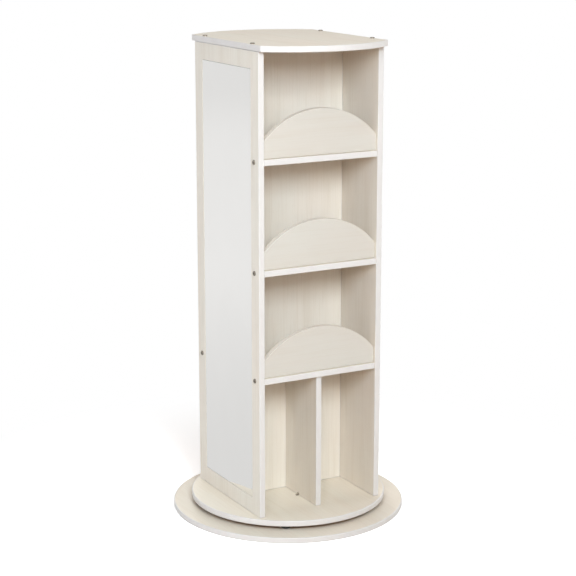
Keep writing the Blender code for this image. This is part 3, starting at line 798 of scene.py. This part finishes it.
studio = {
    "ambient": 0.03,           # even light from all round, where 1 shows white as full white
    "ambientTint": "FFC79E",
    "floorRadius": 30.0,       # m
    "floorSides": 96,
    "floorPaper": "F0E8DF",
    "floorLift": (1.61, 1.64, 1.68, 1),     # lifts the lit paper to plain white for the camera
    "floorFade": (0.4, 1.0),   # m, from the lit paper to plain white
    # What gloss and mirrors see of the floor, a painted fall-off of its light: brightness at
    # distances in m from the middle
    "floorSheen": {0.2: 0.785, 3.2: 0.925, 6.2: 0.91, 10.0: 0.84},
}
# Softboxes: whether gloss and mirrors see one, its share of the light on a surface at the aim
# point that faces it, where it stands round the rack and its size in metres
lamps = {
    "keySoftbox": {"shows": True, "share": 0.585, "tint": "ECF9FF", "azimuth": -13, "elevation": 26.5,
                   "distance": 3.8, "aimHeight": 0.7, "size": (1.15, 1.15)},
    "sideSoftbox": {"shows": False, "share": 0.27, "tint": "E7F0FF", "azimuth": -36, "elevation": 26,
                    "distance": 3.2, "aimHeight": 0.75, "size": (1.0, 1.0)},
    "lowSoftbox": {"shows": True, "share": 0.155, "tint": "FFE4CC", "azimuth": -24, "elevation": 8,
                   "distance": 3.2, "aimHeight": 1.05, "size": (1.25, 1.25)},
    "leftFill": {"shows": False, "share": 0.325, "tint": "EBF6FF", "azimuth": -95, "elevation": 6,
                 "distance": 2.6, "aimHeight": 0.6, "size": (1.2, 1.8)},
    "overhead": {"shows": False, "share": 0.12, "tint": "FFE8C8", "azimuth": 0, "elevation": 84,
                 "distance": 2.5, "aimHeight": 0.6, "size": (2.0, 2.0)},
    "topFront": {"shows": False, "share": 0.15, "tint": "FFF2E0", "azimuth": -20, "elevation": 60,
                 "distance": 3.7, "aimHeight": 0.6, "size": (1.6, 1.6)},
    "rightFill": {"shows": False, "share": 0.50, "tint": "FFFFFF", "azimuth": 95, "elevation": 0,
                  "distance": 2.6, "aimHeight": 0.6, "size": (1.2, 1.8)},
    "rearSoftbox": {"shows": False, "share": 0.60, "tint": "FFFBF6", "azimuth": 165, "elevation": 13,
                    "distance": 7.0, "aimHeight": 0.6, "size": (3.4, 3.4)},
}


# A lamp of (pi * distance) ** 2 watts would light that surface, if it is white, to full white
def addLamps():
    for name, lamp in lamps.items():
        light = bpy.data.lights.new(name, "AREA")
        light.shape = "RECTANGLE"
        light.size, light.size_y = lamp["size"]
        light.energy = lamp["share"] * (pi * lamp["distance"]) ** 2
        light.color = hexColour(lamp["tint"])[:3]
        placed = aimedObject(name, light, lamp["azimuth"], lamp["elevation"], lamp["distance"],
                             lamp["aimHeight"])
        placed.visible_glossy = lamp["shows"]


# 1 for rays from the camera and for rays that metal, gloss or glass sends on
def addSeenDirectly(tree):
    path = addNode(tree, "LightPath", {}, output="Is Camera Ray")
    rays = path.node.outputs
    for other in ("Is Glossy Ray", "Is Transmission Ray"):
        path = addNode(tree, "Math", {0: path, 1: rays[other]}, {"operation": "MAXIMUM"})
    return path


def addWorld():
    world = bpy.data.worlds.new("white studio")
    bpy.context.scene.world = world
    world.use_nodes = True
    tree = world.node_tree
    ambient = tree.nodes["Background"]
    ambient.inputs["Color"].default_value = hexColour(studio["ambientTint"])
    ambient.inputs["Strength"].default_value = studio["ambient"]
    shown = addNode(tree, "Background", {"Color": (1, 1, 1, 1), "Strength": 1.0})
    mix = addNode(tree, "MixShader", {0: addSeenDirectly(tree), 1: ambient.outputs[0], 2: shown})
    tree.links.new(mix, tree.nodes["World Output"].inputs["Surface"])


# White paper, lifted for the camera so that only the shadow shows on it. Gloss and mirrors see it as
# an even glow with painted shade near by and far away, as a studio floor is shaded.
def addFloor():
    deselectAll()
    bpy.ops.mesh.primitive_circle_add(vertices=studio["floorSides"], radius=studio["floorRadius"],
                                      fill_type="NGON")
    material = bpy.data.materials.new("studio paper")
    floor = settle("studioFloor", material)
    material.use_nodes = True
    tree = material.node_tree
    tree.nodes.remove(tree.nodes["Principled BSDF"])
    away = addNode(tree, "VectorMath", {0: addNode(tree, "TexCoord", {}, output="Object")},
                   {"operation": "LENGTH"}, "Value")
    stops = sorted(studio["floorSheen"].items())
    paintedFalloff = stops[0][1]
    for (near, nearValue), (far, farValue) in zip(stops, stops[1:]):
        step = addNode(tree, "MapRange", {"Value": away, "From Min": near, "From Max": far,
                                          "To Min": 0.0, "To Max": farValue - nearValue},
                       {"interpolation_type": "SMOOTHSTEP"})
        paintedFalloff = addNode(tree, "Math", {0: paintedFalloff, 1: step})
    camera = addNode(tree, "LightPath", {}, output="Is Camera Ray")
    colour = addNode(tree, "Mix", {0: camera, 6: hexColour(studio["floorPaper"]),
                                   7: studio["floorLift"]}, {"data_type": "RGBA"}, 2)
    paper = addNode(tree, "BsdfDiffuse", {"Color": colour})
    fadeStart, fadeEnd = studio["floorFade"]
    faded = addNode(tree, "MapRange", {"Value": away, "From Min": fadeStart, "From Max": fadeEnd},
                    {"interpolation_type": "SMOOTHSTEP"})
    plain = addNode(tree, "Mix", {0: camera, 2: 1.0, 3: faded})
    level = addNode(tree, "Mix", {0: camera, 2: paintedFalloff, 3: 1.0})
    white = addNode(tree, "Emission", {"Color": (1, 1, 1, 1), "Strength": level})
    shown = addNode(tree, "Math", {0: plain, 1: addSeenDirectly(tree)}, {"operation": "MULTIPLY"})
    mix = addNode(tree, "MixShader", {0: shown, 1: paper, 2: white})
    tree.links.new(mix, tree.nodes["Material Output"].inputs["Surface"])


addLamps()
addWorld()
addFloor()
bpy.context.scene.view_settings.view_transform = "Standard"

bpy.context.view_layer.update()
